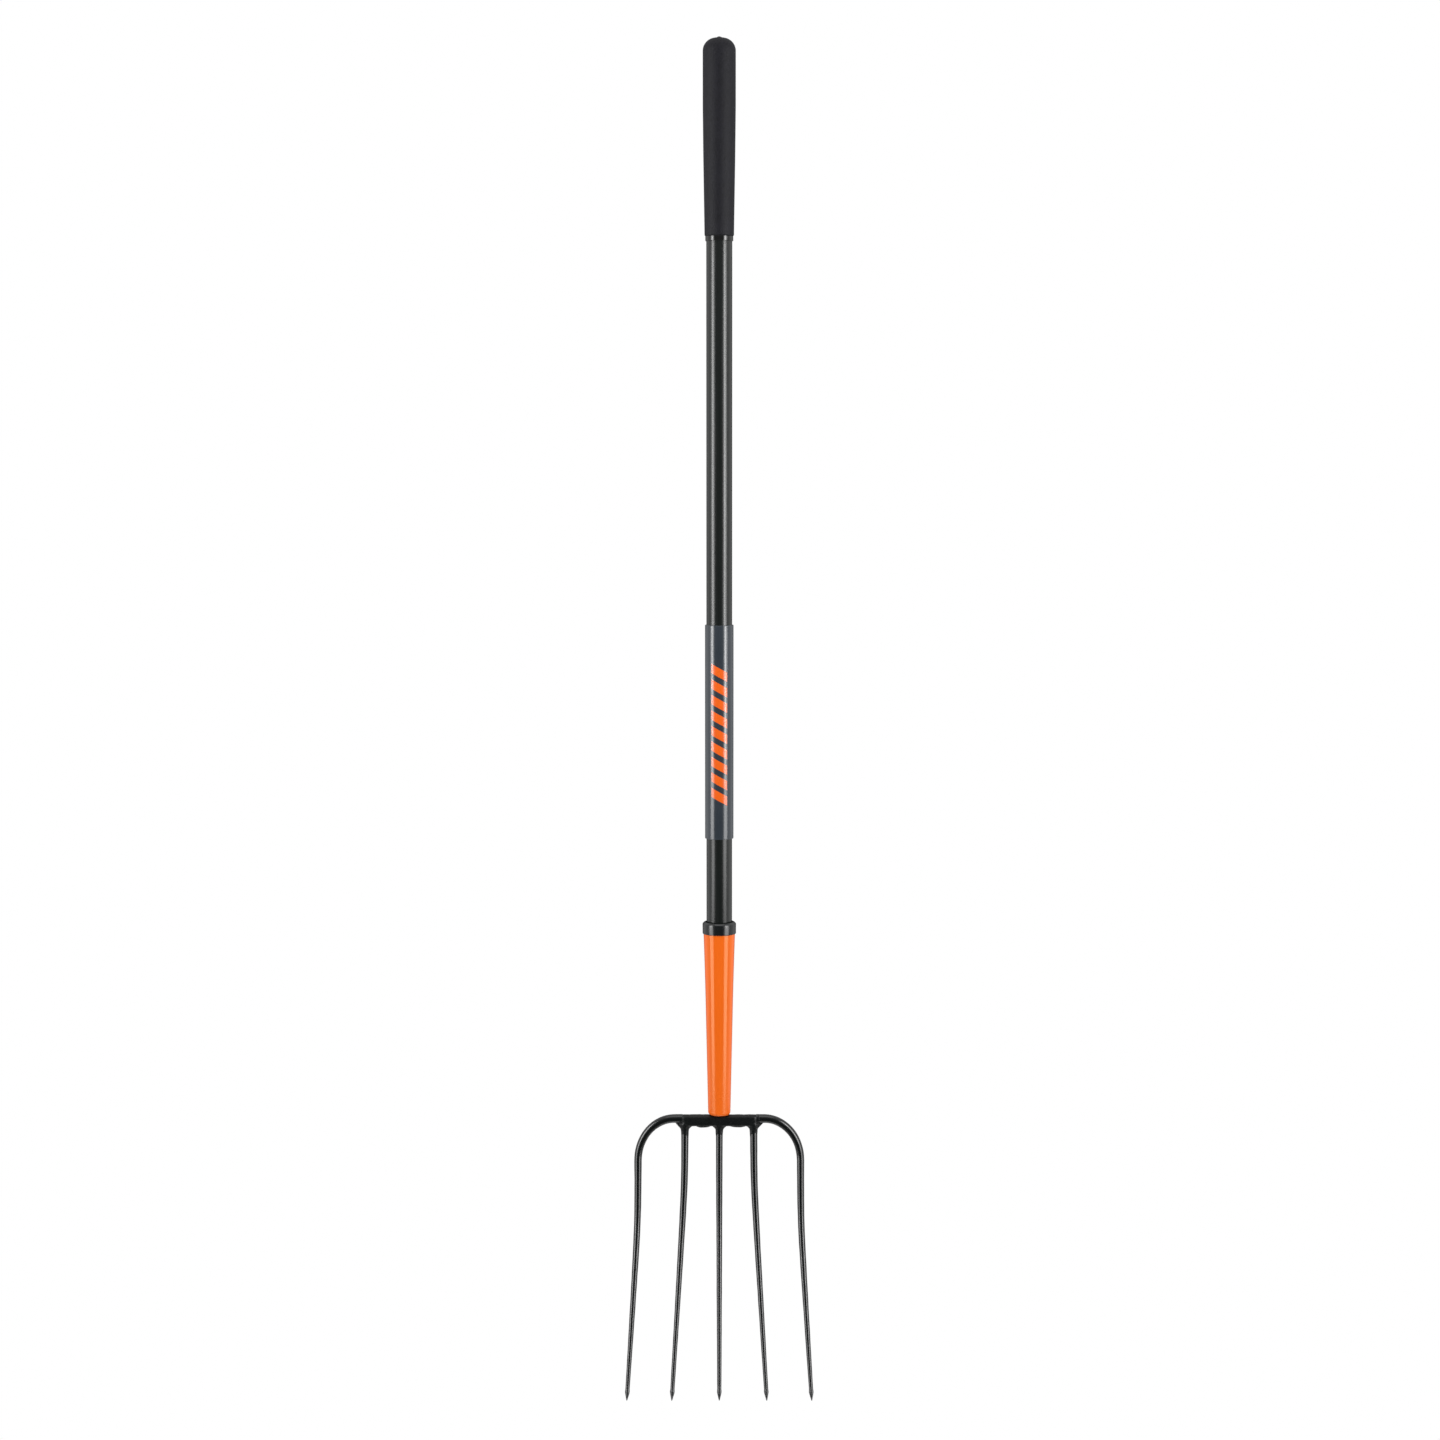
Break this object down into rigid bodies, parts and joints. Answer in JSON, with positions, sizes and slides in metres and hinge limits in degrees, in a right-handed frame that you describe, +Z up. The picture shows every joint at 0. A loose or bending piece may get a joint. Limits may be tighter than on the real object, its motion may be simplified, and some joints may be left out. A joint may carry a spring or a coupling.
{
  "type": "digging fork",
  "caption": "Long-handled fork with slim round tines on a forged crossbar, a tapered steel ferrule, a fibreglass handle and a foam end grip, for lifting and turning loose material.",
  "frame": {"origin": "middle of the crossbar, on the handle's axis", "axes": "+Z up the handle to the grip, -Y to the front where the tines lean, +X to the right seen from the front"},
  "size_m": [0.2098, 0.0807, 1.501],
  "materials": {
    "head_paint": "satin black paint over hammered forging",
    "ferrule_enamel": "gloss orange enamel",
    "collar_plastic": "satin moulded black",
    "tube_fibreglass": "gloss black pultrusion",
    "sleeve_film": "slate blue film with an orange stripe print",
    "grip_foam": "matte pebbled foam",
    "ring_gloss": "gloss black",
    "core_wood": "turned hardwood",
    "bedding_resin": "cured resin",
    "pin_steel": "plain steel",
    "plug_plastic": "moulded black"
  },
  "bodies": {
    "root": {"head_shoulder": "head_paint", "tine_outer_left": "head_paint", "tine_inner_left": "head_paint", "tine_centre": "head_paint", "tine_inner_right": "head_paint", "tine_outer_right": "head_paint", "head_tang": "pin_steel", "tang_bedding": "bedding_resin", "ferrule": "ferrule_enamel", "handle_core": "core_wood", "retaining_pin": "pin_steel", "ferrule_collar": "collar_plastic", "handle_tube": "tube_fibreglass", "printed_sleeve": "sleeve_film", "grip_ring": "ring_gloss", "grip": "grip_foam", "tube_end_plug": "plug_plastic"}
  },
  "joints": []
}
